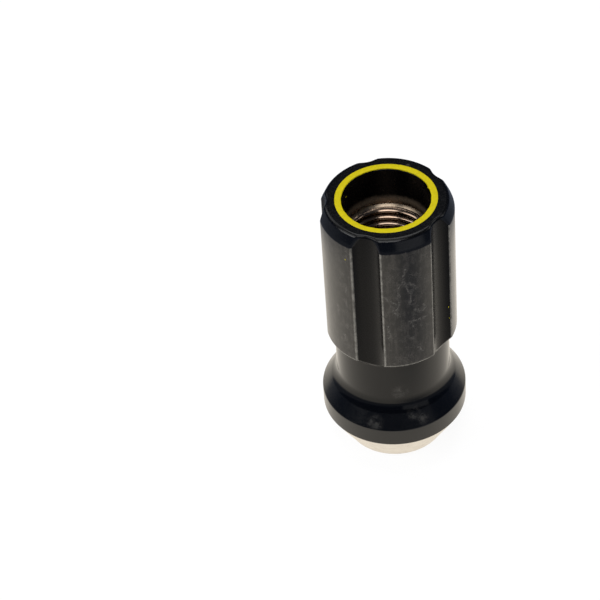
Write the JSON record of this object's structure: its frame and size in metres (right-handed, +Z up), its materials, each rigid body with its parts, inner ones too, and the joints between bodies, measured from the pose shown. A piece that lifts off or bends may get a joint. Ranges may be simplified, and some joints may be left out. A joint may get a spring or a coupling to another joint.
{
  "type": "spline lug nut",
  "caption": "Open-ended wheel nut with a fluted spline drive, round neck, flared flange and conical seat, and a coloured marker ring at the mouth of its bore.",
  "frame": {"origin": "middle of the annular face at the seat end, which the nut stands on", "axes": "+Z up the bore's axis to the marked open end, -Y through the middle of one flute"},
  "size_m": [0.021, 0.021, 0.044],
  "materials": {
    "black_coat": "gloss",
    "marker_yellow": "satin",
    "bare_steel": "satin"
  },
  "bodies": {
    "root": {"nut_body": "black_coat", "marker_ring": "marker_yellow"}
  },
  "joints": []
}
